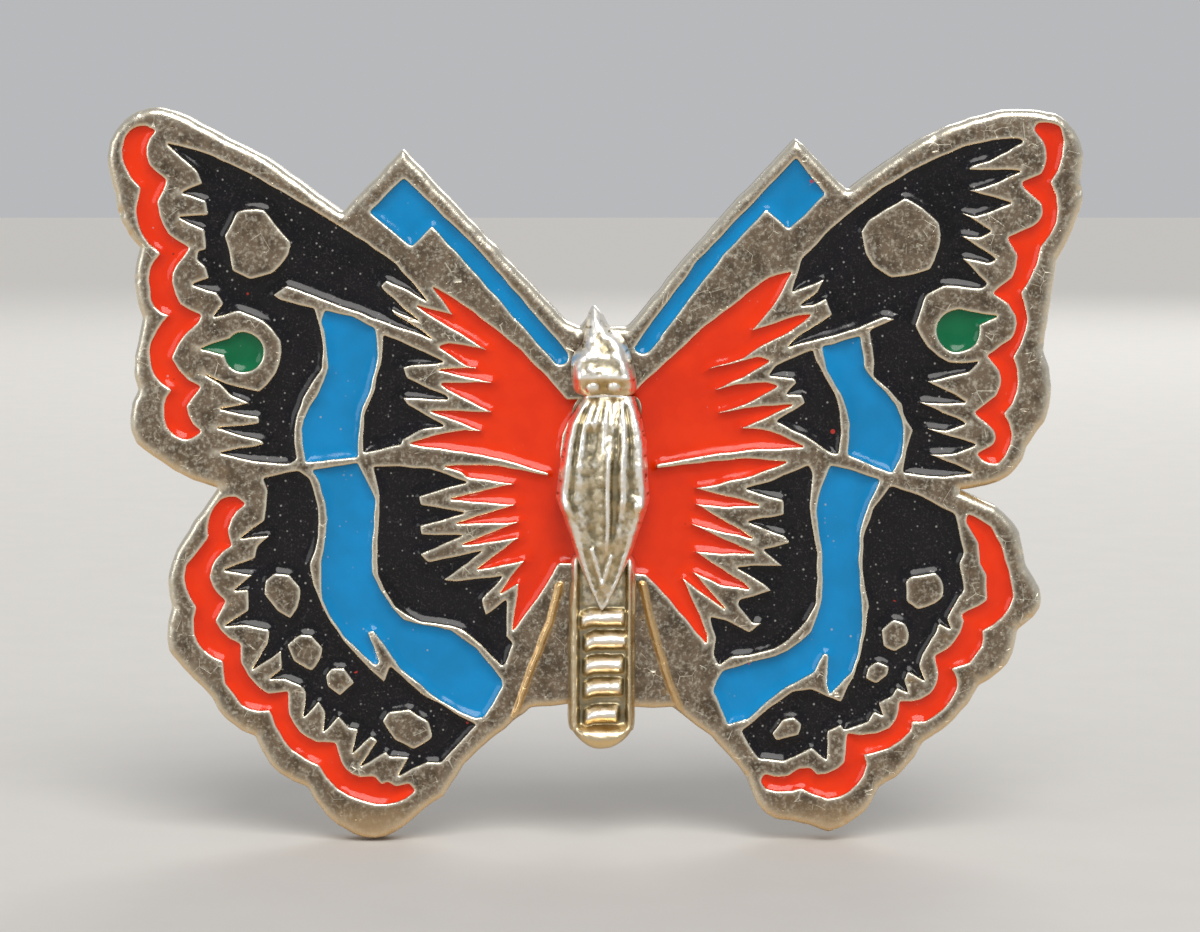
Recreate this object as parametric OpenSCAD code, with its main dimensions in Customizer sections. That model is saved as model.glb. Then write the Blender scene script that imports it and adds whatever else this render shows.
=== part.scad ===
// Butterfly brooch. Millimetres. X runs along the wing span, Z runs up towards the head,
// the front faces -Y and the pin is behind, at +Y. The origin is on the axis of the pin stem.

/* [Plate] */
// Width over both wing tips
wing_span = 40; // [33:0.5:48]
// Height from the wing tips to the lowest lobe
wing_height = 30.3; // [26:0.3:36.5]
// Thickness of the cast plate
plate_t = 1.6; // [1.3:0.1:2.4]
// Depth of the enamel cells below the front of the plate
cell_depth = 0.55; // [0.4:0.05:0.8]
// How far the enamel lies below the front of the plate
enamel_drop = 0.1; // [0.05:0.01:0.2]

/* [Body] */
// Height of the head above the front of the plate
head_rise = 1.5; // [1.2:0.1:2.0]
// Height of the abdomen rails above the front of the plate
abdomen_rise = 1.1; // [0.9:0.1:1.6]
// Radius of the eye beads
bead_r = 0.34; // [0.26:0.02:0.4]
// Radius of the cross ridges on the abdomen
ridge_r = 0.34; // [0.26:0.02:0.38]
// Width of the raised veins beside the abdomen
vein_w = 0.24; // [0.16:0.02:0.36]
// Height of the raised veins above the front of the plate
vein_rise = 0.3; // [0.2:0.05:0.5]

/* [Pin] */
// Radius of the pin wire
stem_r = 0.4; // [0.32:0.02:0.5]
// Radius of the wire's root, where it leaves the eye
root_r = 0.6; // [0.52:0.02:0.7]
// Length of the tapered root beyond the eye
root_l = 0.7; // [0.4:0.1:1.5]
// How far the tip reaches past the catch lock
tip_past = 0.8; // [0.5:0.1:2]
// How far before the catch lock the wire starts to taper
point_lead = 0.2; // [0.1:0.05:2]
// Radius of the flat left at the tip
tip_r = 0.06; // [0.04:0.01:0.1]
// Distance from the back of the plate to the pin axis
standoff = 2.8; // [2.3:0.1:3.6]
// Radius of the eye that turns on the rivet
eye_r = 1.1; // [1.0:0.05:1.2]
// Height of the eye, along the rivet
eye_h = 1.5; // [1.2:0.1:1.8]

/* [Hinge] */
// Distance from the middle of the brooch to the hinge axis
hinge_x = 13; // [12.5:0.25:13.5]
// Radius of the rivet shank
rivet_r = 0.42; // [0.38:0.02:0.5]
// Radial clearance of the rivet in the eye
rivet_gap = 0.05; // [0.03:0.01:0.08]
// Thickness of each ear of the bracket
ear_t = 0.6; // [0.5:0.1:0.9]
// Clearance between the eye and each ear
ear_gap = 0.08; // [0.05:0.01:0.15]
// Radius of the rounded end of each ear
ear_r = 1.15; // [1.05:0.05:1.2]
// Thickness of the bracket foot
foot_t = 0.55; // [0.45:0.05:0.8]
// Length of the bracket foot
foot_l = 4.6; // [4:0.2:6]
// Radius of the rivet heads
rivet_head_r = 0.8; // [0.7:0.05:1.0]
// Height of the rivet heads
rivet_head_h = 0.35; // [0.3:0.05:0.5]

/* [Catch] */
// Distance from the middle of the brooch to the middle of the catch
catch_x = 12.4; // [12:0.2:12.8]
// Length of the catch barrel
barrel_l = 2.4; // [2:0.2:3]
// Outer radius of the catch barrel
barrel_r = 1.8; // [1.75:0.05:1.95]
// Radius of the turning lock inside the barrel
lock_r = 1.25; // [1.0:0.05:1.5]
// Radial clearance between the lock and the barrel
lock_gap = 0.06; // [0.04:0.01:0.09]
// Clearance between the wire and each side of the slot it drops through
slot_gap = 0.15; // [0.1:0.01:0.2]
// Thickness of the lock's end collars
collar_t = 0.5; // [0.4:0.1:0.7]
// End clearance between each collar and the barrel
collar_gap = 0.08; // [0.05:0.01:0.15]
// How much smaller the collars are than the barrel, in radius
collar_step = 0.1; // [0.05:0.01:0.15]
// Clearance between the thumb lug and the plate as the lug swings by
lug_gap = 0.35; // [0.25:0.01:0.4]
// Tilt of the thumb lug when the lock is shut
lug_tilt = 40; // [30:5:50]
// Width of the thumb lug
lug_w = 0.9; // [0.7:0.05:1.1]

/* [Hidden] */
$fn = 40;

// The outlines below are drawn for a brooch this wide and this high
drawn_span = 40;
drawn_height = 30.3;
sx = wing_span / drawn_span;
sz = wing_height / drawn_height;

back_y = -standoff;
front_y = back_y - plate_t;
floor_y = front_y + cell_depth;
fill_t = cell_depth - enamel_drop;
// How far the cutting shapes run past the faces they cut
past = 1;
// Middle line of the body, a little right of the pin's middle
body_x = 0.1;
// Height of the flat brow around the dome of the head, and depth of the trough down the abdomen
brow_rise = 0.6 * head_rise;
trough_y = front_y - 0.55 * abdomen_rise;

// Length of the lock with its collars, and where it starts
roller_l = barrel_l + 2 * (collar_gap + collar_t);
lock_start_x = catch_x - roller_l / 2;
slot_w = 2 * (stem_r + slot_gap);
lug_reach = standoff - lug_gap;
// Where the straight wire ends, and where its point ends
taper_x = lock_start_x - point_lead;
tip_x = lock_start_x + roller_l + tip_past;

// Every outline runs clockwise seen from the front. Each point is [x, z], or [x, z, bow], where
// bow is the height of the arc to the next point, positive outwards.
PLATE = [
    [-20.15, 11.1, 0.3], [-18.9, 12.95, 0.15], [-17.3, 12.95], [-13.6, 11.05], [-10.55, 8.85], [-8.05, 11.4],
    [-1.35, 4.35], [-0.8, 4.1], [-0.25, 4.85], [0.35, 4.1], [1.15, 4.1, 0.15], [8, 11.85], [10.1, 9.75],
    [13, 11.75, 0.15], [16.3, 12.95, 0.1], [18.6, 12.85, 0.25], [19.75, 11.2], [19.65, 10.1], [19.8, 9.4, 0.1],
    [18.75, 6.9], [18.5, 5.2], [18.2, 3.15, 0.32], [18.3, 0.2], [17.55, -0.8], [17.4, -1.35, 0.2],
    [15.9, -2.45], [14.8, -2.62], [16.3, -3.25, 0.1], [17.3, -4.35], [17.6, -5.7], [18.2, -6.7, 0.15],
    [17.95, -7.85], [17.3, -8.4], [17.1, -9.4, 0.2], [15.7, -10.7, 0.3], [13.4, -13.1, 0.25],
    [11.6, -15, 0.35], [9.5, -16.88], [8, -16.4], [7.3, -16.35, 0.1], [6.5, -15.6], [6.1, -14.6],
    [5.5, -13.85], [4.6, -12.85, 0.05], [3.4, -11.95], [3, -11.65, 0.05], [1.4, -11.65], [1.25, -12.1, 0.3],
    [0.05, -13.2, 0.3], [-1.15, -12.1], [-1.15, -11.5, 0.05], [-2.9, -11.65], [-3.5, -12.15, 0.05],
    [-4.6, -13.05], [-5.6, -14], [-6.5, -15.4], [-7.1, -15.75], [-8.1, -16.6, 0.37], [-10.3, -16.95, 0.25],
    [-12.15, -15, 0.42], [-14.3, -12.85, 0.3], [-16.1, -11.2, 0.05], [-17.85, -9.3, 0.15],
    [-17.7, -7.45, 0.25], [-17.5, -5.1, 0.05], [-15.75, -2.5, 0.25], [-19.1, -0.65, 0.3], [-19, 1.5, 0.18],
    [-18.95, 3.6], [-18.75, 4.5, 0.3], [-18.85, 7.4, 0.27], [-19.85, 9.6], [-20.1, 10.5]];

// Left wing
L_FORE_MARGIN = [
    [-16.4, -0.2, 0.35], [-17.75, 0, 0.25], [-17.55, 1.55, 0.25], [-18.45, 3, 0.2], [-17.6, 4.6, 0.3],
    [-18.4, 5.7, 0.25], [-17.95, 7.15, 0.55], [-18.7, 9.85, 0.38], [-19.35, 11.85, 0.15], [-18.5, 12.35],
    [-18.1, 12.15, -0.28], [-18.4, 10.7], [-17.7, 10.1], [-18.1, 9.2, -0.36], [-16.78, 7.35], [-16.98, 7.1, -0.45],
    [-17.2, 5.05], [-16.35, 4.6], [-16.45, 4.35, -0.15], [-17.6, 2.85, -0.15], [-16.4, 1.65], [-17, 0.9, -0.15]];
L_FORE_OUTER = [
    [-17.65, 11.65], [-15.8, 11.1, 0.08], [-12, 9.05, 0.05], [-8.35, 6.7], [-7.05, 5.2], [-8.75, 6.08],
    [-9, 5.8], [-8.8, 5.55], [-7.4, 4.35], [-8.55, 4.9], [-8.45, 4.7], [-6.85, 3.65], [-9.5, 4.6],
    [-12.85, 5.85], [-13.4, 5.45], [-13.1, 5.22], [-11.72, 4.88], [-11.5, 4.1, 0.1], [-11.45, 2.4, -0.1],
    [-12.45, 0.55, -0.1], [-12.5, -1.3], [-12.8, -1.48, 0.1], [-15.65, -1.05], [-13.75, -0.68],
    [-13.9, -0.52], [-15.75, -0.03], [-14, 0.15], [-14, 0.45], [-15.65, 0.78], [-14.35, 0.97],
    [-15.1, 1.35, -0.05], [-16.2, 2.2], [-15.4, 1.78], [-14, 1.45, -0.35], [-13.05, 3.6, -0.2],
    [-14.8, 4.82], [-15.85, 4.55], [-15.4, 5.1], [-15.7, 5.55], [-16.7, 5.85], [-15.95, 6.15], [-16.1, 6.6],
    [-16.45, 6.9], [-16.4, 7.25], [-16.1, 7.3], [-16.15, 8.12], [-17.2, 8.65], [-16, 8.7], [-16.05, 9.3],
    [-17.1, 9.6], [-16.22, 9.98], [-16.4, 10.45]];
L_FORE_SPOT = [
    [-15.35, 7.85], [-14.85, 8.85, 0.1], [-13.7, 8.9], [-13.05, 8.05], [-12.62, 7.6, 0.15], [-13.4, 6.3],
    [-14.3, 6.05], [-15.05, 6.4], [-15.15, 7.1]];
L_EYE_TAIL = [[-15.3, 3.62], [-14.6, 3.6], [-14.6, 3], [-15.35, 3], [-16.4, 3.24]];
L_FORE_BAND = [
    [-11.25, 4.8], [-10.2, 4.55], [-9.24, 4.05, 0.03], [-9.14, 3, 0.04], [-9.47, 1.5, -0.08], [-9.9, 0.2],
    [-9.98, -1.22], [-12.1, -1.42], [-12.25, -0.1, 0.1], [-11.6, 1.3, -0.08], [-11.15, 2.5], [-11.25, 3.9],
    [-11.42, 4.35]];
L_FORE_INNER = [
    [-8.88, 3.8], [-7.6, 3.28], [-6.4, 2.7], [-8.1, 2.5], [-7.95, 2], [-6.3, 1.28], [-6.2, 1.15], [-8.1, 1.25],
    [-7.9, 0.92], [-6.4, 0.1], [-7.3, -0.03], [-8.15, -0.48], [-8.2, -0.7], [-9.72, -1], [-9.68, 0.5],
    [-9.24, 1.5, 0.03], [-8.92, 2.8]];
L_COSTAL = [
    [-8, 10.2], [-4.9, 7.2], [-1.3, 3.02, 0.2], [-1.75, 2.6], [-6.85, 8.3], [-7.7, 7.45], [-9.4, 8.85]];
L_BURST = [
    [-6.85, 5.78], [-5.2, 4.75], [-3.3, 3.22], [-1.35, 1.15], [-0.45, 1.15, -0.5], [-1.6, -1.6],
    [-1.65, -2.9, 0.1], [-0.95, -5.6], [-1.72, -5.6, 0.1], [-3.65, -8.4], [-3.3, -6.4], [-4.15, -6.88],
    [-3.1, -5.48], [-5.1, -5.88], [-3.3, -4.55], [-5.7, -4.85], [-3.35, -3.9], [-5.95, -3.98], [-3.45, -3.18],
    [-6.2, -2.96], [-3.5, -2.32], [-5.45, -2.02], [-5.65, -1.82], [-6.4, -1.6, 0.2], [-2.1, -2.03],
    [-2.1, -1.88, -0.15], [-6.2, -0.92], [-7.85, -0.66], [-6.3, -0.2, 0.05], [-4.8, -0.14], [-6.95, 0.7],
    [-4.42, 0.62], [-6.2, 1.55], [-6.55, 1.82], [-4.4, 1.85], [-6.65, 2.38], [-5, 2.46], [-5.4, 2.52],
    [-6.6, 3.32], [-6.2, 3.45], [-4.65, 3.2], [-7.55, 5.02], [-6, 4.62]];
L_HIND_INNER = [
    [-9.3, -1.65, 0.05], [-7, -1.73], [-5.45, -2.24], [-7.5, -2.8], [-7.4, -3.2], [-5.55, -3.52], [-7.45, -4.05],
    [-7.4, -4.42], [-5.65, -4.47], [-7.45, -5.25], [-7.1, -5.6], [-4.85, -5.08], [-6.45, -6.3], [-5.9, -6.38],
    [-4.02, -6.15], [-4.9, -7.1], [-4.72, -7.8], [-3.85, -7.15], [-3.9, -8.65], [-3.62, -8.95], [-3.9, -9.75],
    [-4.05, -9.88], [-4.9, -9, -0.1], [-6.15, -8.2], [-7.4, -8.02, 0.05], [-8.48, -7.38, 0.03], [-9.15, -6.1],
    [-9.1, -4], [-9.03, -2.8]];
L_HIND_BAND = [
    [-11.8, -1.75], [-9.98, -1.48], [-9.25, -2.95], [-9.42, -5], [-9.4, -6.05, -0.12], [-8.1, -8],
    [-6.2, -8.4], [-5.1, -9.2], [-4.08, -10.45], [-4.05, -10.75], [-4.8, -12], [-5.2, -12.05],
    [-6.6, -11.35], [-8.2, -10], [-9.35, -8.4], [-9.6, -8.5], [-9.15, -9.7], [-9.3, -9.85], [-10.6, -8.6, 0.05],
    [-11.45, -7.1, 0.05], [-11.45, -5.5], [-11.2, -3.8, -0.05], [-11.5, -2.3]];
L_HIND_OUTER = [
    [-13.85, -2.1], [-12.4, -1.8], [-12, -2.1, 0.1], [-11.6, -3.9, 0.1], [-11.98, -5.7], [-11.85, -6.5, -0.1],
    [-10.6, -8.85], [-9.5, -10.05], [-8.95, -10.55], [-8.65, -9.88], [-7.48, -11], [-5.15, -12.35], [-6.6, -13.9],
    [-7.2, -13.9], [-8.4, -14.5], [-7.9, -13.7], [-8.7, -13.67], [-8.85, -13.45], [-9.95, -14.1],
    [-9.15, -13], [-9.5, -12.8], [-10.3, -13.55], [-9.98, -12.5], [-10.4, -12.45], [-10.8, -11.95],
    [-11.45, -12.65], [-11.35, -11.8], [-11.65, -11.35], [-12.25, -12.05], [-12.15, -11], [-12.35, -10.68],
    [-13, -10.38], [-13.7, -10.42], [-13.15, -10.05], [-13.15, -9.2], [-14.4, -10.05], [-13.7, -8.95],
    [-13.65, -8.35], [-14.6, -8.18], [-15.5, -8.2], [-14.5, -7.6], [-14.5, -6.7], [-15.1, -6.75], [-14.3, -6.1],
    [-15.5, -5.9], [-14.2, -5.4], [-14.1, -4.9], [-13.6, -4.45], [-14.85, -4.55], [-13.8, -3.85], [-13.65, -2.6]];
L_HIND_SPOTS = [
    [[-13.8, -6.3], [-13.45, -6], [-12.8, -6.05], [-12.35, -6.6, 0.15], [-12.75, -7.9], [-13.3, -7.6], [-13.85, -6.9]],
    [[-12.95, -9], [-12.4, -8.55], [-11.9, -8.6], [-11.45, -9.1, 0.1], [-11.9, -10.1], [-12.7, -9.7]],
    [[-11.35, -10.3], [-11.1, -9.95], [-10.6, -9.95], [-10.12, -10.6], [-10.75, -11.15], [-11.3, -10.75]],
    [[-9, -12.2], [-8.75, -11.8], [-7.9, -11.7], [-7.1, -12.2], [-6.95, -12.9], [-7.7, -13.35], [-8.5, -13]]];
L_HIND_MARGIN = [
    [-7.65, -15.1, 0.35], [-9.8, -15.5, 0.3], [-11.6, -14.05, 0.4], [-13.65, -11.7, 0.3], [-15.1, -11.1],
    [-15.5, -10.6], [-15.55, -9.65, 0.25], [-16.75, -8.5, 0.05], [-16.65, -7.4, 0.2], [-17.05, -5.7], [-16.15, -4.6, 0.2],
    [-15.6, -3, 0.05], [-15, -2.85], [-14.6, -3.15, -0.15], [-15.35, -4.2], [-15.2, -4.85, -0.2],
    [-16.15, -6.2, -0.1], [-15.45, -7.2], [-15.9, -8, -0.15], [-14.85, -9], [-14.85, -9.8, -0.15],
    [-13.7, -11.05], [-12.9, -10.95], [-12.9, -11.9, -0.2], [-11.7, -13.1], [-10.95, -13.1],
    [-10.75, -13.9, -0.15], [-9.9, -14.55], [-9.35, -14.5], [-9.05, -14.85], [-8.8, -14.75], [-8.5, -14.95],
    [-7.9, -14.8]];

// Right wing
R_FORE_MARGIN = [
    [15.5, -1.1], [16.15, -0.75, -0.1], [16.2, -0.1], [15.4, 0.6], [16.3, 1.3, -0.12], [16.4, 2.35],
    [15.9, 2.95], [16.85, 3.6, -0.12], [17.05, 4.6], [16.75, 5.1], [16.12, 5.5], [16.9, 6.2, -0.05],
    [17.1, 7.05], [16.68, 7.8], [17.7, 8.25, -0.2], [18.05, 9.2], [17.3, 9.85], [17.25, 10.05], [18, 10.35, -0.2],
    [18.1, 11.75], [17.7, 12.2], [17.85, 12.42, 0.1], [18.75, 12.25, 0.3], [18.35, 10.05, 0.5], [18, 7.45, 0.15],
    [17.2, 5.55, 0.4], [16.9, 2.9, 0.4], [16.55, 0.55, 0.45], [16.35, -1.48, 0.15]];
R_FORE_OUTER = [
    [8.3, 6.9], [9.5, 8.2], [11.5, 9.78, 0.05], [14, 11.12, 0.05], [16, 11.75], [17.1, 11.82], [17.25, 11.7, 0.1],
    [15.1, 10.7], [15, 10.55], [17.2, 10.52, 0.08], [15.1, 9.68], [16.85, 9.2], [15.3, 8.65], [14.75, 8.8], [16, 8.05],
    [15.5, 7.8], [14.75, 7.85], [16.2, 6.9], [15.9, 6.75], [14.8, 6.95], [15.85, 5.9], [15.6, 5.74],
    [14.1, 5.85], [13.35, 5.48], [12.9, 4.2, -0.2], [14.3, 2.65, -0.05], [15.55, 2.72], [15.1, 2.3],
    [13.4, 1.92], [15.05, 1.05], [14.4, 0.98], [13.1, 1.05], [15.05, 0.15], [14.2, -0.1], [13.4, -0.05],
    [15.45, -0.7], [14.6, -1.05], [13.55, -1.1], [15.35, -1.87, 0.15], [12.48, -1.85, 0.05],
    [12.85, -0.1, 0.1], [12.4, 1, -0.05], [11.25, 2.1, -0.1], [11.05, 3.95], [12.1, 4.45], [11.65, 4.58], [10.4, 4.05],
    [7.7, 3.32], [8.3, 3.85], [9.55, 4.62], [9.25, 5.3], [8.75, 5.05], [8.2, 5], [8.9, 5.55], [9.2, 6.08],
    [7.85, 5.55]];
R_FORE_SPOT = [
    [10.68, 8.05], [11, 8.55], [12.45, 9.4], [13.2, 9], [13.85, 8.4, 0.2], [13.5, 6.45], [12.8, 6.25],
    [11.9, 6.15], [11.2, 6.6], [10.85, 7.1]];
R_EYE_TAIL = [[14.3, 4.6], [14.7, 4.88], [15.6, 4.66], [16.3, 4.6], [15.15, 4.08]];
R_FORE_BAND = [
    [9.12, 3.35], [9.5, 3.4], [10.65, 3.75], [10.82, 2.45, -0.05], [11.75, 1.4, 0.08], [12.35, 0.4, 0.1],
    [12.35, -1.2], [12, -1.85], [10.2, -1.15], [10.28, 0.1, -0.05], [9.9, 1.4], [9.3, 2.4]];
R_FORE_INNER = [
    [8.72, 3.18], [8.85, 2.7, -0.03], [9.6, 1.45, 0.08], [9.9, -0.2], [9.78, -1.08], [9.5, -1.05], [8.4, -0.3],
    [7.25, 0.25], [8.45, 1], [8.3, 1.35], [7.65, 1.36], [8.08, 1.85], [8, 2.05], [6.92, 2.15], [7.2, 2.55]];
R_COSTAL = [
    [8, 11], [9.2, 9.55], [7.7, 8.15], [6.8, 8.95], [5, 7.05], [2, 3.12, 0.15], [1.4, 3.3], [4, 6.82]];
R_BURST = [
    [0.7, 1.3], [1.45, 1.5], [4.2, 4.05], [6.9, 6.12], [7.85, 6.4], [7.1, 5.02], [6.2, 3.95], [8.1, 4.6],
    [8.65, 4.65], [7.8, 3.95], [6.6, 3.38], [5.9, 2.87], [4.45, 2.4], [6.5, 2.88], [6.95, 2.75, 0.08], [4.7, 1.55],
    [5.7, 1.76], [6.8, 1.85], [7.3, 1.7], [6, 1], [4.85, 0.58], [6, 0.8], [7.95, 0.95], [5.8, -0.03], [7, -0.15],
    [8.4, -0.8, -0.18], [2.3, -1.54], [2.3, -1.73, 0.05], [6, -1.3], [7.7, -1.4], [6.2, -2], [3.9, -2.52],
    [6.6, -3.22, 0.08], [3.9, -3.15], [6.35, -4.58], [3.75, -3.97], [6.4, -5.24], [3.9, -5.12], [5.9, -6.45],
    [6.2, -6.7], [5, -6.48], [3.8, -5.96], [5.2, -7.52], [3.38, -6.2], [4.42, -8.6], [4.42, -8.95], [2.9, -7.12],
    [1.92, -6.05], [1.3, -6], [1.2, -5.3], [1.85, -2.9, 0.1], [1.75, -0.8, 0.05]];
R_HIND_INNER = [
    [8.6, -1.55], [8.72, -1.9], [8.6, -3.3], [8.92, -5.2, 0.05], [8.88, -7.3, 0.2], [7.2, -9.15, 0.05],
    [5.4, -9.5], [4.9, -9.85], [4.7, -9.4], [4.82, -8.7], [4.55, -7.85], [5.2, -7.98], [6.15, -8.5],
    [6.7, -8.12], [6.3, -8.1], [5.7, -7.35], [5.8, -7.15], [7.1, -6.75], [6.8, -6.5], [5.65, -5.78],
    [7.55, -5.7], [6.7, -5.05], [7.85, -4.78], [7.65, -4.5], [6.05, -3.88], [7.6, -3.6], [7.55, -2.98],
    [6, -2.52], [7.2, -2.15]];
R_HIND_BAND = [
    [9.5, -1.6], [10.3, -1.75], [11.5, -2.15], [10.85, -3.6, -0.05], [10.62, -5.4], [10.82, -7.8, 0.1], [10.4, -10.1],
    [9.5, -11.05], [9.4, -10.6], [9.45, -9.4], [9.25, -9.3], [8.85, -10.1], [7.4, -10.95], [6.1, -12.08],
    [5.3, -12.3], [4.7, -10.9, 0.05], [5.1, -10.1, 0.05], [7.2, -9.5, -0.1], [8.7, -8.5, -0.15], [9.22, -6.2, -0.05],
    [8.92, -3.5, 0.1]];
R_HIND_OUTER = [
    [11.95, -2.42], [13.2, -2.85], [14.6, -3.58], [14.75, -4.2], [15, -5.2], [14.78, -5.6], [15, -6.75],
    [14.8, -7], [14.3, -7.9], [14.5, -8.35], [13.98, -8.1], [13.85, -8.5], [13.3, -9.4], [13.15, -9.9],
    [13.45, -10.5], [12.7, -10.1], [12.55, -10.5], [12.75, -11], [12.25, -10.78], [12.1, -11.1], [11.5, -11.42],
    [11.75, -12], [11.35, -11.78], [11.1, -12.2], [10.1, -12.55], [10, -12.3], [9.4, -12.55], [9.4, -13.8],
    [8.75, -13.28], [7.6, -13.85], [6.6, -13.75, 0.05], [5.87, -12.6, 0.05], [8, -10.97], [8.7, -10.87],
    [9.95, -11.4], [10.5, -10.3, -0.05], [11, -8.3], [11.1, -7.4], [10.85, -6], [10.85, -4.6], [11.25, -3.4]];
R_HIND_SPOTS = [
    [[12.6, -6.4], [12.8, -6.15], [13.85, -6, 0.15], [14.15, -7, 0.1], [13.1, -7.55], [12.65, -7.2]],
    [[11.6, -8.35], [12.1, -7.95], [12.6, -8.1, 0.1], [12.7, -9], [12.2, -9.3], [11.7, -9.05]],
    [[10.95, -10.4], [11.1, -9.95], [11.45, -9.7], [11.95, -9.88], [11.9, -10.25], [11.45, -10.6]],
    [[7.1, -12.7], [7.55, -12.1], [8.05, -12], [8.35, -12.3], [8.2, -12.8], [7.3, -13]]];
R_HIND_MARGIN = [
    [15.15, -3.58], [16.1, -4.1], [16.5, -4.9, 0.08], [17.05, -7, 0.25], [15.75, -8.38, 0.05],
    [15.75, -9.1], [15.3, -9.7], [14.5, -10, 0.1], [14.75, -10.8, 0.2], [13.4, -12.2], [12.9, -12.18],
    [12.85, -12.6, 0.25], [10.9, -13.55], [11.05, -14, 0.4], [9.4, -15.42, 0.05], [8.4, -14.97, 0.15], [6.85, -15],
    [6.65, -14.7], [6.8, -14.42, -0.05], [7.8, -14.5], [8.3, -14.17], [8.7, -14.17], [9, -14.48, -0.15],
    [10.15, -13.9], [10.25, -12.72, -0.15], [12, -12.5, -0.15], [12.4, -11.38, -0.12], [13.7, -11.05, -0.1],
    [14, -10.1], [13.85, -9.45, -0.25], [15.05, -8], [14.95, -7.78], [16, -7.15], [15.95, -6.1], [15.68, -5.6],
    [15.65, -4.8], [15.1, -3.9]];

// Centre and radius of the round part of each green drop: [x, z, radius]
L_DROP = [-14.6, 3.1, 0.8];
R_DROP = [14.68, 3.98, 0.86];

// Body
HEAD = [
    [-1.1, 2], [-1.1, 2.9], [-0.75, 3.4], [-0.72, 4.1], [-0.45, 4.8, 0.08], [0.05, 4.8], [0.35, 4.2], [0.95, 4],
    [1.4, 3.2], [1.5, 2.2], [1.35, 1.65, 0.1], [-0.8, 1.65]];
// Middle of the head's dome, and the middle of each eye bead
CROWN = [0.15, 2.6];
BEADS = [[-0.28, 1.85], [0.58, 1.85]];
// Half outline of the thorax: [half width, z]
THORAX = [
    [0.75, 1.3], [1.25, 0.6], [1.62, -0.4], [1.82, -1.6], [1.88, -2.7], [1.68, -3.6], [1.38, -4.6], [1.05, -5.6],
    [0.6, -6.8], [0.1, -7.35]];
ABDOMEN = [
    [-0.95, -6], [1.15, -6], [1.35, -7.2], [1.38, -11.9, 0.4], [0.05, -13.28, 0.4], [-1.28, -11.9], [-1.3, -8],
    [-1.15, -7]];
TROUGH = [[-0.75, -6.6], [0.95, -6.6], [1.02, -11.6], [0.8, -12.3], [-0.55, -12.3], [-0.82, -11.6]];
// Height of each cross ridge, and half the length of a ridge
ridge_half = 1;
RIDGES_Z = [-7.75, -8.75, -9.7, -10.65, -11.75];
L_VEIN = [[-1.65, -6.4], [-2.05, -8], [-2.95, -10.3], [-3.6, -12.1]];
R_VEIN = [[1.75, -6.4], [2.15, -8.2], [2.75, -10.3], [3.35, -11.8]];

// A bowed outline as plain points, stretched to the chosen span and height
function bow_of(p) = len(p) > 2 ? p[2] : 0;
function steps(bow) = max(1, ceil(sqrt(abs(bow) / 0.02)));
function side(a, b, t, bow) =
    let (chord = norm([b[0] - a[0], b[1] - a[1]]), k = 4 * bow * t * (1 - t) / chord)
    [sx * (a[0] + t * (b[0] - a[0]) - k * (b[1] - a[1])),
        sz * (a[1] + t * (b[1] - a[1]) + k * (b[0] - a[0]))];
function bowed(points) = [
    for (i = [0 : len(points) - 1])
    let (a = points[i], b = points[(i + 1) % len(points)], n = steps(bow_of(a)))
    for (j = [0 : n - 1]) side(a, b, j / n, bow_of(a))];

// A slab with the given outline, from its back face forwards by t
module slab(points, y, t) {
    translate([0, y, 0])
        rotate([90, 0, 0])
            linear_extrude(t)
                polygon(bowed(points));
}

// A slab with islands left standing in it
module pool(points, islands, y, t) {
    difference() {
        slab(points, y, t);
        for (island = islands) slab(island, y + past, t + 2 * past);
    }
}

// The green drop: a round pool with a tail
module drop(bead, tail, y, t) {
    slab(tail, y, t);
    translate([sx * bead[0], y, sz * bead[1]])
        rotate([90, 0, 0])
            cylinder(h = t, r = bead[2]);
}

module enamel(points, islands = []) {
    pool(points, islands, floor_y, fill_t);
}

// A cell as cut into the plate
module cell(points, islands = []) {
    pool(points, islands, floor_y, cell_depth + past);
}

module cells() {
    for (points = [L_FORE_MARGIN, L_FORE_BAND, L_FORE_INNER, L_COSTAL, L_BURST, L_HIND_INNER, L_HIND_BAND,
        L_HIND_MARGIN, R_FORE_MARGIN, R_FORE_BAND, R_FORE_INNER, R_COSTAL, R_BURST, R_HIND_INNER, R_HIND_BAND,
        R_HIND_MARGIN]) cell(points);
    cell(L_FORE_OUTER, [L_FORE_SPOT]);
    cell(R_FORE_OUTER, [R_FORE_SPOT]);
    cell(L_HIND_OUTER, L_HIND_SPOTS);
    cell(R_HIND_OUTER, R_HIND_SPOTS);
    drop(L_DROP, L_EYE_TAIL, floor_y, cell_depth + past);
    drop(R_DROP, R_EYE_TAIL, floor_y, cell_depth + past);
}

// A thin raised strip along a line of points, standing on the front of the plate
module vein(line) {
    right = [for (p = line) [p[0] + vein_w / 2, p[1]]];
    left = [for (i = [len(line) - 1 : -1 : 0]) [line[i][0] - vein_w / 2, line[i][1]]];
    slab(concat(right, left), front_y, vein_rise);
}

module base_plate() color("darkgoldenrod") {
    difference() {
        slab(PLATE, back_y, plate_t);
        cells();
    }
    vein(L_VEIN);
    vein(R_VEIN);
}

// All the space in front of the plate
module before_plate() {
    translate([-wing_span, front_y - wing_span, -wing_height])
        cube([2 * wing_span, wing_span, 2 * wing_height]);
}

// Spindle of revolution cut flat where it lies on the plate
module thorax() {
    half = [for (p = THORAX) [sx * p[0], sz * p[1]]];
    intersection() {
        translate([sx * body_x, front_y, 0])
            rotate_extrude($fn = 48)
                polygon(concat([[0, half[0][1]]], half, [[0, half[len(half) - 1][1]]]));
        before_plate();
    }
}

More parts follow.
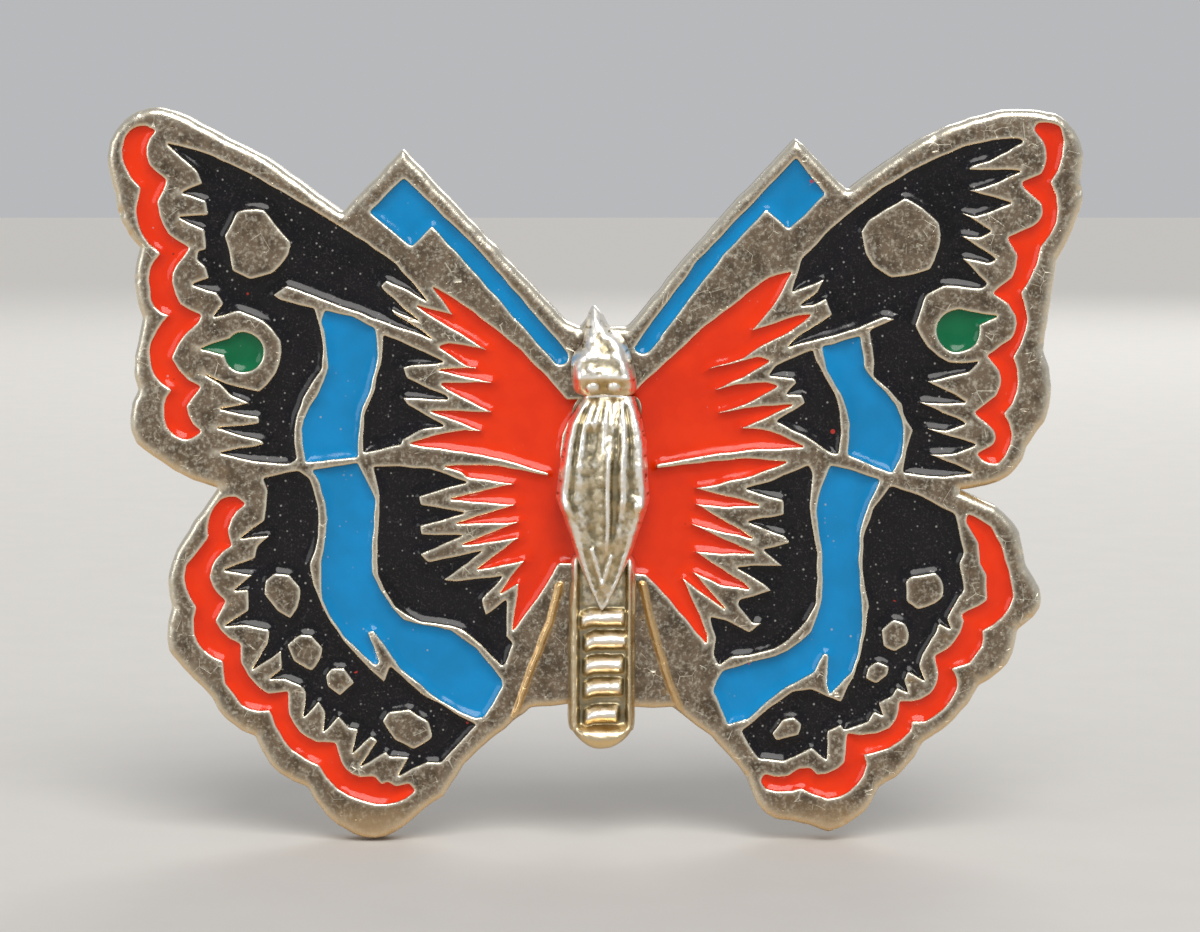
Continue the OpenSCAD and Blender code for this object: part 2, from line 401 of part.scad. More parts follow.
module head() {
    slab(HEAD, front_y, brow_rise);
    intersection() {
        translate([sx * CROWN[0], front_y, sz * CROWN[1]])
            sphere(r = head_rise);
        before_plate();
    }
    for (bead = BEADS)
        translate([sx * bead[0], front_y - brow_rise, sz * bead[1]])
            sphere(r = bead_r);
}

module abdomen() {
    difference() {
        slab(ABDOMEN, front_y, abdomen_rise);
        slab(TROUGH, trough_y, abdomen_rise);
    }
    for (z = RIDGES_Z)
        translate([sx * (body_x - ridge_half), trough_y, sz * z])
            rotate([0, 90, 0])
                cylinder(h = 2 * sx * ridge_half, r = ridge_r);
}

module body_casting() color("gold") {
    union() {
        head();
        thorax();
        abdomen();
    }
}

module left_fore_margin_red() color("orangered") enamel(L_FORE_MARGIN);
module left_hind_margin_red() color("orangered") enamel(L_HIND_MARGIN);
module left_burst_red() color("orangered") enamel(L_BURST);
module left_costal_blue() color("deepskyblue") enamel(L_COSTAL);
module left_fore_band_blue() color("deepskyblue") enamel(L_FORE_BAND);
module left_hind_band_blue() color("deepskyblue") enamel(L_HIND_BAND);
module left_fore_outer_black() color("black") enamel(L_FORE_OUTER, [L_FORE_SPOT]);
module left_fore_inner_black() color("black") enamel(L_FORE_INNER);
module left_hind_outer_black() color("black") enamel(L_HIND_OUTER, L_HIND_SPOTS);
module left_hind_inner_black() color("black") enamel(L_HIND_INNER);
module left_eye_green() color("seagreen")
    drop(L_DROP, L_EYE_TAIL, floor_y, fill_t);

module right_fore_margin_red() color("orangered") enamel(R_FORE_MARGIN);
module right_hind_margin_red() color("orangered") enamel(R_HIND_MARGIN);
module right_burst_red() color("orangered") enamel(R_BURST);
module right_costal_blue() color("deepskyblue") enamel(R_COSTAL);
module right_fore_band_blue() color("deepskyblue") enamel(R_FORE_BAND);
module right_hind_band_blue() color("deepskyblue") enamel(R_HIND_BAND);
module right_fore_outer_black() color("black") enamel(R_FORE_OUTER, [R_FORE_SPOT]);
module right_fore_inner_black() color("black") enamel(R_FORE_INNER);
module right_hind_outer_black() color("black") enamel(R_HIND_OUTER, R_HIND_SPOTS);
module right_hind_inner_black() color("black") enamel(R_HIND_INNER);
module right_eye_green() color("seagreen")
    drop(R_DROP, R_EYE_TAIL, floor_y, fill_t);

// Half the width between the ears, and the outer face of each ear
ear_in = eye_h / 2 + ear_gap;
ear_out = ear_in + ear_t;
foot_y = back_y + foot_t;

// Foot soldered to the back of the plate, with two ears that carry the rivet
module hinge_bracket() color("silver") {
    difference() {
        union() {
            translate([-hinge_x - foot_l / 2, back_y, -ear_out])
                cube([foot_l, foot_t, 2 * ear_out]);
            for (z = [-ear_out, ear_in]) {
                translate([-hinge_x, 0, z])
                    cylinder(h = ear_t, r = ear_r);
                translate([-hinge_x - ear_r, back_y, z])
                    cube([2 * ear_r, standoff, ear_t]);
            }
        }
        translate([-hinge_x, 0, -ear_out - past])
            cylinder(h = 2 * (ear_out + past), r = rivet_r);
    }
}

module hinge_rivet() color("gray") {
    translate([-hinge_x, 0, -ear_out - rivet_head_h])
        cylinder(h = 2 * (ear_out + rivet_head_h), r = rivet_r);
    for (z = [-ear_out - rivet_head_h, ear_out])
        translate([-hinge_x, 0, z])
            cylinder(h = rivet_head_h, r = rivet_head_r);
}

// A round bar along X from x, on the pin axis
module bar(x, length, r, r_end) {
    translate([x, 0, 0])
        rotate([0, 90, 0])
            cylinder(h = length, r1 = r, r2 = r_end);
}

// Eye on the rivet, tapered root, straight wire along X and a tapered point
module pin_stem() color("lightgray") {
    difference() {
        union() {
            translate([-hinge_x, 0, -eye_h / 2])
                cylinder(h = eye_h, r = eye_r);
            bar(-hinge_x, taper_x + hinge_x, stem_r, stem_r);
            bar(-hinge_x + eye_r, root_l, root_r, stem_r);
            bar(-hinge_x, eye_r, root_r, root_r);
            bar(taper_x, tip_x - taper_x, stem_r, tip_r);
        }
        translate([-hinge_x, 0, -eye_h])
            cylinder(h = 2 * eye_h, r = rivet_r + rivet_gap);
    }
}

// Barrel with a slot that opens backwards, on a foot soldered to the plate
module catch_housing() color("silver") {
    difference() {
        union() {
            bar(catch_x - barrel_l / 2, barrel_l, barrel_r, barrel_r);
            translate([catch_x - barrel_l / 2, back_y, -barrel_r])
                cube([barrel_l, foot_t, 2 * barrel_r]);
            translate([catch_x - barrel_l / 2, back_y, -barrel_r * 0.7])
                cube([barrel_l, standoff, 1.4 * barrel_r]);
        }
        bar(catch_x - barrel_l, 2 * barrel_l, lock_r + lock_gap, lock_r + lock_gap);
        translate([catch_x - barrel_l, 0, -slot_w / 2])
            cube([2 * barrel_l, 3 * barrel_r, slot_w]);
    }
}

// Slotted roller with a collar at each end and a thumb lug on the outer collar
module catch_lock() color("lightgray") {
    end_x = lock_start_x + roller_l - collar_t;
    collar_r = barrel_r - collar_step;
    difference() {
        union() {
            bar(lock_start_x, roller_l, lock_r, lock_r);
            for (x = [lock_start_x, end_x])
                bar(x, collar_t, collar_r, collar_r);
            translate([end_x, 0, 0])
                rotate([-lug_tilt, 0, 0])
                    translate([0, -lug_w / 2, 0])
                        cube([collar_t, lug_w, lug_reach]);
        }
        translate([lock_start_x - past, -slot_w / 2, -slot_w / 2])
            cube([roller_l + 2 * past, 2 * standoff, slot_w]);
    }
}

base_plate();
body_casting();
left_fore_margin_red();
left_hind_margin_red();
left_burst_red();
left_costal_blue();
left_fore_band_blue();
left_hind_band_blue();
left_fore_outer_black();
left_fore_inner_black();
left_hind_outer_black();
left_hind_inner_black();
left_eye_green();
right_fore_margin_red();
right_hind_margin_red();
right_burst_red();
right_costal_blue();
right_fore_band_blue();
right_hind_band_blue();
right_fore_outer_black();
right_fore_inner_black();
right_hind_outer_black();
right_hind_inner_black();
right_eye_green();
hinge_bracket();
hinge_rivet();
pin_stem();
catch_housing();
catch_lock();
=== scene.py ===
"""Enamelled butterfly brooch. The cast plate, the enamel pools and the body relief are modelled finely
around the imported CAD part; the pin, hinge and catch are its own nodes, rounded off."""

import math

import bmesh
import bpy
import numpy as np
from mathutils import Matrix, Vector, noise
from mathutils.geometry import delaunay_2d_cdt
from mathutils.kdtree import KDTree


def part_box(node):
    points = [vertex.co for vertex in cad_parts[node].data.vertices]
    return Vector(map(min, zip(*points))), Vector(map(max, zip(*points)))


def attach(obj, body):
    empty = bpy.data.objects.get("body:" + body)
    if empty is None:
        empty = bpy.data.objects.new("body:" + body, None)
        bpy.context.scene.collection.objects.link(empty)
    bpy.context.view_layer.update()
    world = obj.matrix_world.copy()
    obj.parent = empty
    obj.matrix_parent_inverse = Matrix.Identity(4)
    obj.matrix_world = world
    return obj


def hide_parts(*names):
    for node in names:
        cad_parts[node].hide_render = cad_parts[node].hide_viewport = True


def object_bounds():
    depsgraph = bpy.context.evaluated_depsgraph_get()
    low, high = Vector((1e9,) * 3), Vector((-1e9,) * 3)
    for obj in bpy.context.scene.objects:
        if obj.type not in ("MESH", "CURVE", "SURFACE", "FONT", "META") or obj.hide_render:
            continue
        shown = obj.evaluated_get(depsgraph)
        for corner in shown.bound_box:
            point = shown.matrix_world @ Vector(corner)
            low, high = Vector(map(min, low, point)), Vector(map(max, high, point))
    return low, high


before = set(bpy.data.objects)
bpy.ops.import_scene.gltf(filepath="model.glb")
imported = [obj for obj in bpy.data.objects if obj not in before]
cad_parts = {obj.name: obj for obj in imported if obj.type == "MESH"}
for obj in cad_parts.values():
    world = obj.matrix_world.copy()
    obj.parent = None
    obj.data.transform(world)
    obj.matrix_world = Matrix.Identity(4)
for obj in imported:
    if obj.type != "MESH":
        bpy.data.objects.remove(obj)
cad_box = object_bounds()

MM = 0.001
# Spacing of the points along an outline, in mm
STEP = 0.055
# How often an outline is smoothed, which rounds its corners to about 0.06 mm
SMOOTHING = 3
# Wander of every edge from its drawn line, and the size of the wander's waves
WANDER = 0.022
WANDER_SIZE = 0.7
# The wander's noise is shifted by random amounts, which are the same each run only with a seed
noise.seed_set(5)
# Rounding of the cell edges and of the plate's outer edge: width and depth
CELL_ROUND, CELL_DROP = 0.1, 0.085
RIM_WIDTH, RIM_DROP, RIM_GUTTER = 0.34, 0.42, 0.025
VEIN_RISE = 0.17
# Enamel: drop below the land at a wall and in the open, and the width of the meniscus between
ENAMEL_EDGE = 0.1
ENAMEL_DEEP = 0.27
MENISCUS = 0.42
# Slow swells of the hand-finished land and of the fired enamel
LAND_SWELL = 0.012
ENAMEL_SWELL = 0.01
# Distances from the edges at which points are set, in rows, and the pitch of the points elsewhere
LAND_ROWS, LAND_PITCH = (0.02, 0.05, 0.09, 0.14, 0.22, 0.34), 0.3
VEIN_ROWS = (-0.09, -0.03, 0.03, 0.08, 0.14)
POOL_ROWS, POOL_PITCH = (0.03, 0.08, 0.14, 0.21, 0.29, 0.38), 0.25
BODY_ROWS, BODY_PITCH = (0.02, 0.05, 0.09, 0.14), 0.075
BACK_ROWS, BACK_PITCH = (0.15, 0.35, 0.55, 0.65, 0.75, 0.85, 1.0), 0.35
SOLDER_ROWS = (-0.3, -0.05, 0.03, 0.1, 0.18, 0.28, 0.4, 0.55)
# The back's sunk field, and the solder that creeps up against the two feet: height and reach
BACK_SINK = 0.12
SOLDER_HEIGHT, SOLDER_REACH = 0.42, 0.26
# Depth below the land at which the body relief is closed, and how far its beads stand out
BODY_FOOT = 0.2
BEAD_RISE = 1.12
# Floors of the pools and of the cells stay this far apart
FLOOR_GAP = 0.01
# Two outlines that differ by less than this are the same, and a vein's foot has at least this area
SAME = 0.01
VEIN_AREA = 0.1

ENAMELS = [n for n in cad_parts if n.split("_")[-1] in ("red", "blue", "black", "green")]


def node_box(name):
    """Lowest and highest corner of a CAD node, in mm."""
    lo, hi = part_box(name)
    return np.array(lo) / MM, np.array(hi) / MM


FRONT = node_box("body_casting")[1][1]
BACK = node_box("base_plate")[1][1]
CELL_FLOOR = node_box("left_burst_red")[1][1]
FILL_FRONT = node_box("left_burst_red")[0][1]


# ---------------------------------------------------------------- outlines


def flat_loops(name, y, facing=-1):
    """Closed outlines of a CAD node's faces that lie at depth y and look forwards (-1) or back (1)."""
    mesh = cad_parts[name].data
    mesh.calc_loop_triangles()
    at = [tuple(round(c / MM, 4) for c in v.co) for v in mesh.vertices]
    edges = {}
    for tri in mesh.loop_triangles:
        corners = [at[i] for i in tri.vertices]
        if tri.normal.y * facing < 0.99 or any(abs(c[1] - y) > 0.01 for c in corners):
            continue
        flat = [(c[0], c[2]) for c in corners]
        for a, b in zip(flat, flat[1:] + flat[:1]):
            if (b, a) in edges:
                del edges[(b, a)]
            else:
                edges[(a, b)] = True
    following = {a: b for a, b in edges}
    loops = []
    while following:
        start = next(iter(following))
        loop, here = [], start
        while here in following:
            loop.append(here)
            here = following.pop(here)
        loops.append(np.array(loop))
    return loops


def area(loop):
    """Signed area, positive for an anticlockwise loop."""
    x, z = loop[:, 0], loop[:, 1]
    return 0.5 * np.sum(x * np.roll(z, -1) - np.roll(x, -1) * z)


def wander(points):
    """Moves points by a smooth field, so both sides of a wall move together."""
    out = points.copy()
    for i, (x, z) in enumerate(points):
        v = noise.noise_vector(Vector((x / WANDER_SIZE, z / WANDER_SIZE, 3.7)))
        out[i] += WANDER * 2 * np.array([v.x, v.z])
    return out


def refine(loop, step=STEP, smoothing=SMOOTHING):
    """Evenly spaced, smoothed and slightly wandering version of a drawn outline."""
    closed = np.vstack([loop, loop[:1]])
    run = np.concatenate([[0], np.cumsum(np.linalg.norm(np.diff(closed, axis=0), axis=1))])
    count = max(12, int(run[-1] / step))
    s = np.linspace(0, run[-1], count, endpoint=False)
    points = np.stack([np.interp(s, run, closed[:, 0]), np.interp(s, run, closed[:, 1])], axis=1)
    for _ in range(smoothing):
        points = 0.5 * points + 0.25 * (np.roll(points, 1, axis=0) + np.roll(points, -1, axis=0))
    return wander(points)


def outward(loop):
    """Unit normals to the right of travel: away from the face inside an anticlockwise loop."""
    along = np.roll(loop, -1, axis=0) - np.roll(loop, 1, axis=0)
    along /= np.linalg.norm(along, axis=1)[:, None] + 1e-12
    return np.stack([along[:, 1], -along[:, 0]], axis=1)


class Edges:
    """Distance to a set of outlines."""

    def __init__(self, loops):
        self.a = np.vstack(loops)
        self.b = np.vstack([np.roll(loop, -1, axis=0) for loop in loops])
        self.c = np.vstack([np.roll(loop, 1, axis=0) for loop in loops])
        self.tree = KDTree(len(self.a))
        for i, (x, z) in enumerate(self.a):
            self.tree.insert((x, z, 0), i)
        self.tree.balance()

    def distance(self, points):
        near = np.array([self.tree.find((x, z, 0))[1] for x, z in points], int)
        best = np.full(len(points), 1e9)
        for other in (self.b, self.c):
            a, d = self.a[near], other[near] - self.a[near]
            t = np.sum((points - a) * d, axis=1) / (np.sum(d * d, axis=1) + 1e-12)
            foot = a + np.clip(t, 0, 1)[:, None] * d
            best = np.minimum(best, np.linalg.norm(points - foot, axis=1))
        return best


def inside(points, loops, band=0.2):
    """Even-odd test of points against all the outlines together, one band of heights at a time."""
    a = np.vstack(loops)
    b = np.vstack([np.roll(loop, -1, axis=0) for loop in loops])
    low, high = np.minimum(a[:, 1], b[:, 1]), np.maximum(a[:, 1], b[:, 1])
    odd = np.zeros(len(points), bool)
    which = np.floor(points[:, 1] / band)
    for k in np.unique(which):
        rows = np.nonzero(which == k)[0]
        near = (high >= k * band) & (low <= (k + 1) * band)
        p, q = a[near], b[near]
        x, z = points[rows, 0][:, None], points[rows, 1][:, None]
        spans = (p[:, 1] > z) != (q[:, 1] > z)
        rise = np.where(q[:, 1] == p[:, 1], 1e-12, q[:, 1] - p[:, 1])
        cross = p[:, 0] + (z - p[:, 1]) * (q[:, 0] - p[:, 0]) / rise
        odd[rows] = np.sum(spans & (x < cross), axis=1) % 2 == 1
    return odd


def rings(loops, edges, offsets, sign):
    """Points at each distance from the outlines, on one side, where no other edge is nearer."""
    found = []
    for offset in offsets:
        for loop in loops:
            every = max(1, int(round(offset * 0.75 / STEP)))
            points = (loop + sign * offset * outward(loop))[::every]
            found.append(points[edges.distance(points) > 0.93 * offset])
    return np.vstack(found)


def grid(lo, hi, pitch):
    """Points of a triangular grid over a box."""
    rows = np.arange(lo[1], hi[1], pitch * math.sqrt(3) / 2)
    cols = np.arange(lo[0], hi[0], pitch)
    return np.array([(x + (i % 2) * pitch / 2, z) for i, z in enumerate(rows) for x in cols])


def triangulate(loops, extra):
    """Delaunay triangles of the region inside the outlines, with extra points in it."""
    points = np.vstack([*loops, extra])
    bounds, start = [], 0
    for loop in loops:
        n = len(loop)
        bounds += [(start + i, start + (i + 1) % n) for i in range(n)]
        start += n
    verts, _, faces, *_ = delaunay_2d_cdt([Vector(p) for p in points], bounds, [], 0, 1e-6)
    xy = np.array([(v.x, v.y) for v in verts])
    tris = np.array([f for f in faces if len(f) == 3], int)
    middle = xy[tris].mean(axis=1)
    tris = tris[inside(middle, loops)]
    return xy, tris


def hills(points, size, seed):
    """Smooth noise between -1 and 1 at each point."""
    return np.array([noise.noise(Vector((x / size, z / size, seed))) for x, z in points])


# ---------------------------------------------------------------- meshes


def mesh_object(name, verts, faces, material, edge):
    """A smooth mesh object from points in mm and faces, with its duplicate points welded."""
    mesh = bpy.data.meshes.new(name)
    mesh.from_pydata((np.asarray(verts) * MM).tolist(), [], [tuple(f) for f in faces])
    mesh.attributes.new("edge", "FLOAT", "POINT").data.foreach_set("value", edge)
    bm = bmesh.new()
    bm.from_mesh(mesh)
    bmesh.ops.remove_doubles(bm, verts=bm.verts, dist=0.0002 * MM)
    bmesh.ops.dissolve_degenerate(bm, edges=bm.edges, dist=0.0002 * MM)
    bmesh.ops.recalc_face_normals(bm, faces=bm.faces)
    bm.to_mesh(mesh)
    bm.free()
    mesh.polygons.foreach_set("use_smooth", [True] * len(mesh.polygons))
    mesh.materials.append(material)
    obj = bpy.data.objects.new(name, mesh)
    bpy.context.scene.collection.objects.link(obj)
    return obj


class Builder:
    """Collects the points and faces of one solid, and how rubbed its surface is at each point."""

    def __init__(self):
        self.verts, self.faces, self.edge, self.count = [], [], [], 0

    def add(self, verts, faces, edge=0.0):
        self.verts.append(np.asarray(verts, float))
        self.faces.append(np.asarray(faces, int) + self.count)
        self.edge.append(np.broadcast_to(np.asarray(edge, float), len(verts)))
        self.count += len(verts)

    def sheet(self, xz, y, tris, front=True, edge=0.0):
        """A triangulated region at depth y, facing forwards or back."""
        verts = np.stack([xz[:, 0], np.broadcast_to(y, len(xz)), xz[:, 1]], axis=1)
        self.add(verts, tris if front else tris[:, ::-1], edge)

    def wall(self, levels, edge=0.0):
        """Closed strips between rows of points, each row (x and z, y) going round one outline."""
        rows = [np.stack([p[:, 0], np.broadcast_to(y, len(p)), p[:, 1]], axis=1) for p, y in levels]
        n = len(rows[0])
        i = np.arange(n)
        j = (i + 1) % n
        for upper, lower in zip(rows, rows[1:]):
            tris = np.vstack([np.stack([i, j, j + n], 1), np.stack([i, j + n, i + n], 1)])
            self.add(np.vstack([upper, lower]), tris, edge)

    def build(self, name, material):
        faces = [tuple(f) for group in self.faces for f in group]
        return mesh_object(name, np.vstack(self.verts), faces, material, np.concatenate(self.edge))


def round_over(distance, width, depth):
    """Drop of a rounded edge at a distance in from it."""
    t = np.clip(1 - distance / width, 0, 1)
    return depth * (1 - np.sqrt(np.clip(1 - t * t, 0, 1)))


def bell(value, middle, width):
    """1 at the middle, fading on both sides."""
    return np.exp(-(((value - middle) / width) ** 2))


def ramp(value, low, high):
    """Rises smoothly from 0 to 1 between two values."""
    t = np.clip((value - low) / (high - low), 0, 1)
    return t * t * (3 - 2 * t)


def between(value, low, high, soft=0.3):
    """1 between two values, fading outside them."""
    return ramp(value, low - soft, low + soft) * (1 - ramp(value, high - soft, high + soft))


def to_line(points, start, end):
    """Distance of points from a straight line between two points."""
    a, d = np.array(start), np.array(end) - np.array(start)
    t = np.clip(((points - a) @ d) / (d @ d), 0, 1)
    return np.linalg.norm(points - a - t[:, None] * d, axis=1)


def dome(depth, width):
    """Quarter round that rises from 0 at the edge to 1 at this distance in."""
    t = np.clip(1 - depth / width, 0, 1)
    return np.sqrt(1 - t * t)


# ---------------------------------------------------------------- plate and enamel


def same_place(a, b):
    """Difference of two outlines in area and middle."""
    return abs(abs(area(a)) - abs(area(b))) + np.linalg.norm(a.mean(axis=0) - b.mean(axis=0))


# The plate's own outline and the outlines of its cells. What is left over are the feet of the veins.
plate_loops = flat_loops("base_plate", FRONT)
pool_loops = {name: flat_loops(name, FILL_FRONT) for name in ENAMELS}
fills = [loop for loops in pool_loops.values() for loop in loops]
raw_rim = max(plate_loops, key=lambda loop: abs(area(loop)))
off_fill = [min(same_place(loop, fill) for fill in fills) for loop in plate_loops]
raw_lands = [raw_rim] + [loop for loop, off in zip(plate_loops, off_fill) if off < SAME]
veins = [refine(loop) for loop, off in zip(plate_loops, off_fill)
    if loop is not raw_rim and off > SAME and abs(area(loop)) > VEIN_AREA]
lands = [refine(loop) for loop in raw_lands]
rim, cells = lands[0], lands[1:]
all_edges, rim_edge, vein_edges = Edges(lands), Edges([rim]), Edges(veins)


def foot_line(name):
    """Outline of a finding where it stands on the back of the plate, evenly spaced and smoothed."""
    loop = max(flat_loops(name, BACK, facing=-1), key=lambda found: abs(area(found)))
    return refine(loop if area(loop) > 0 else loop[::-1], step=0.1, smoothing=1)


def back_surface(line, lo, hi):
    """The back: a low rim round a sunk field, with solder that has crept up against both feet."""
    feet = [foot_line("hinge_bracket"), foot_line("catch_housing")]
    edge, at_feet = Edges([line]), Edges(feet)
    points = [rings([line], edge, BACK_ROWS, -1)]
    points += [foot + o * outward(foot) for foot in feet for o in SOLDER_ROWS]
    far = grid(lo, hi, BACK_PITCH)
    points.append(far[at_feet.distance(far) > 0.6])
    points = np.vstack(points)
    points = points[inside(points, [line])]
    points = points[edge.distance(points) > 0.1]
    xz, faces = triangulate([line], points)
    depth, beside = edge.distance(xz), at_feet.distance(xz) * np.where(inside(xz, feet), -1, 1)
    height = -BACK_SINK * ramp(depth, 0.55, 0.9)
    height -= 0.03 * np.clip(hills(xz, 2.2, 9.0), 0, 1) * ramp(depth, 0, 1)
    height += 0.012 * hills(xz, 0.5, 10.0) * ramp(depth, 0, 0.5)
    creep = SOLDER_REACH * (1 + 0.5 * hills(xz, 0.8, 11.0))
    height += SOLDER_HEIGHT * np.exp(-np.clip(beside, 0, 9) / creep) * (beside > -0.1)
    return xz, faces, height


def plate_piece(material):
    """The cast plate: rounded rim and walls, hollow cells, and a back that isn't quite flat."""
    near = rings(lands, all_edges, LAND_ROWS, -1)
    lo, hi = rim.min(axis=0), rim.max(axis=0)
    far = grid(lo, hi, LAND_PITCH)
    far = far[inside(far, lands)]
    far = far[all_edges.distance(far) > 0.4]
    beside = [v + o * outward(v) for v in veins for o in VEIN_ROWS]
    beside = np.vstack(beside)
    beside = beside[inside(beside, lands)]
    beside = beside[all_edges.distance(beside) > 0.05]
    far = far[vein_edges.distance(far) > 0.2]
    xz, tris = triangulate(lands, np.vstack([near, far, beside]))
    to_edge, to_rim = all_edges.distance(xz), rim_edge.distance(xz)
    to_vein = vein_edges.distance(xz) * np.where(inside(xz, veins), -1, 1)
    on_vein = 1 - ramp(to_vein, -0.08, 0.07)
    drop = round_over(to_edge, CELL_ROUND, CELL_DROP)
    drop = np.maximum(drop, round_over(to_rim, RIM_WIDTH, RIM_DROP))
    # a shallow gutter sets the rounded rim off from the land
    drop += RIM_GUTTER * np.exp(-(((to_rim - 1.8 * RIM_WIDTH) / 0.12) ** 2))
    drop -= VEIN_RISE * on_vein * (0.75 + 0.25 * hills(xz, 0.6, 61.0)) * np.clip(to_edge / 0.1, 0, 1)
    swell = LAND_SWELL * hills(xz, 1.3, 5.0) * np.clip(to_edge / 0.3, 0, 1)
    # a few dents and nicks, mostly along the rim
    dents = np.clip(hills(xz, 0.45, 71.0) - 0.42, 0, 1)
    swell += dents * (0.12 + 0.35 * np.clip(1 - to_rim / 0.5, 0, 1)) * np.clip(to_edge / 0.1, 0, 1)
    built = Builder()
    rubbed = np.clip(1.25 - to_edge / 0.13, 0, 1)
    rubbed = np.maximum(rubbed, 0.75 * np.clip(1.6 - to_rim / 0.25, 0, 1))
    rubbed = np.maximum(rubbed, 0.55 * on_vein)
    built.sheet(xz, FRONT + drop + swell, tris, edge=rubbed)

    # walls and floors of the cells
    top = FRONT + CELL_DROP
    for loop in cells:
        built.wall([(loop, top), (loop, 0.5 * (top + CELL_FLOOR)), (loop, CELL_FLOOR)], edge=0.9)
    floors, faces = triangulate(cells, np.zeros((0, 2)))
    built.sheet(floors, CELL_FLOOR, faces)

    # side and back
    out = outward(rim) * np.sign(area(rim))
    side = FRONT + RIM_DROP
    built.wall([
        (rim, side),
        (rim, 0.5 * (side + BACK)),
        (rim, BACK - 0.15),
        (rim - 0.05 * out, BACK - 0.04),
        (rim - 0.15 * out, BACK),
    ], edge=0.3)
    back_edge = rim - 0.15 * out
    xz, faces, height = back_surface(back_edge, lo, hi)
    built.sheet(xz, BACK + height, faces, front=False, edge=0.25)
    return built.build("plate", material)


def own_cells(name):
    """The plate's outlines that a pool of enamel fills."""
    return [lands[min(range(len(raw_lands)), key=lambda i: same_place(raw_lands[i], loop))]
        for loop in pool_loops[name]]


def enamel_piece(name, material, seed):
    """One pool of enamel, climbing a little at its walls."""
    loops = own_cells(name)
    edges = Edges(loops)
    near = np.vstack([rings([loop], edges, POOL_ROWS, side) for loop in loops for side in (-1, 1)])
    near = near[inside(near, loops)]
    points = np.vstack(loops)
    far = grid(points.min(axis=0), points.max(axis=0), POOL_PITCH)
    far = far[inside(far, loops)]
    far = far[edges.distance(far) > 0.45]
    xz, tris = triangulate(loops, np.vstack([near, far]))
    depth = edges.distance(xz)
    t = np.clip(depth / MENISCUS, 0, 1)
    climb = (1 - t) ** 2
    y = FRONT + ENAMEL_DEEP - (ENAMEL_DEEP - ENAMEL_EDGE) * climb
    y += ENAMEL_SWELL * hills(xz, 0.9, seed) * t
    built = Builder()
    built.sheet(xz, y, tris)
    for loop in loops:
        built.wall([(loop, FRONT + ENAMEL_EDGE), (loop, CELL_FLOOR - FLOOR_GAP)])
    xz, tris = triangulate(loops, np.zeros((0, 2)))
    built.sheet(xz, CELL_FLOOR - FLOOR_GAP, tris, front=False)
    return built.build(name.replace("_", "-"), material)


# ---------------------------------------------------------------- body

# Drawn outlines of the body, in mm: x, z
HEAD_LINE = [
    (-0.86, 1.4), (-1.2, 2.05), (-1.1, 3.0), (-0.72, 3.55), (-0.6, 4.1), (-0.46, 4.7), (-0.22, 5.0),
    (0.08, 4.7), (0.42, 4.12), (0.9, 3.75), (1.24, 3.1), (1.48, 2.1), (1.33, 1.4), (0.2, 1.25)]
# Sides of the thorax: z, left x, right x
THORAX_SIDES = [
    (1.3, -0.68, 1.4), (0.35, -1.26, 1.72), (-0.55, -1.5, 1.9), (-1.8, -1.68, 1.95), (-2.8, -1.8, 2.02),
    (-3.3, -1.62, 1.9), (-4.3, -1.26, 1.58), (-5.3, -0.95, 1.22), (-6.3, -0.55, 0.8), (-7.35, 0.0, 0.2)]
ABDOMEN_LINE = [
    (-1.0, -5.2), (-1.2, -6.4), (-1.3, -8), (-1.32, -11.9), (-1.1, -12.6), (-0.5, -13.15),
    (0.08, -13.3), (0.65, -13.15), (1.25, -12.6), (1.45, -11.9), (1.46, -8), (1.5, -6.4), (1.2, -5.2)]
# Cross bars of the abdomen: z, left end, right end
BARS = [
    (-7.72, -0.86, 1.08), (-8.66, -0.7, 1.18), (-9.66, -0.72, 1.03), (-10.6, -0.7, 0.97),
    (-11.72, -0.68, 0.8)]
# Middles of the eye beads: x, z
BEADS = [(-0.3, 1.77), (0.58, 1.79)]
BEAD_RADIUS = 0.33


def smooth_loop(points, step=0.06):
    """Closed curve through drawn points."""
    p = np.array(points, float)
    curve = []
    for a, b, c, d in zip(np.roll(p, 1, 0), p, np.roll(p, -1, 0), np.roll(p, -2, 0)):
        for t in np.arange(0, 1, max(0.02, step / (np.linalg.norm(c - b) + 1e-9))):
            curve.append(0.5 * (2 * b + (c - a) * t + (2 * a - 5 * b + 4 * c - d) * t**2
                + (3 * b - a - 3 * c + d) * t**3))
    loop = np.array(curve)
    return loop if area(loop) > 0 else loop[::-1]


def head_height(p, depth):
    """Height of the head over the land at each point, given its depth in from the outline."""
    x, z = p[:, 0], p[:, 1]
    # the forehead slopes up from the apex to the brow
    h = 0.25 + np.interp(z, [1.2, 2.1, 5.0], [0.95, 1.45, 0.4]) * dome(depth, 0.45)
    # the eye beads lie in a soft hollow above the lip
    h -= 0.42 * bell(z, 1.68, 0.36) * bell(x, 0.14, 0.95) * ramp(depth, 0.0, 0.2)
    h += 0.13 * hills(p, 0.55, 31.0) * ramp(z, 2.1, 2.6) + 0.035 * hills(p, 0.22, 32.0)
    return h


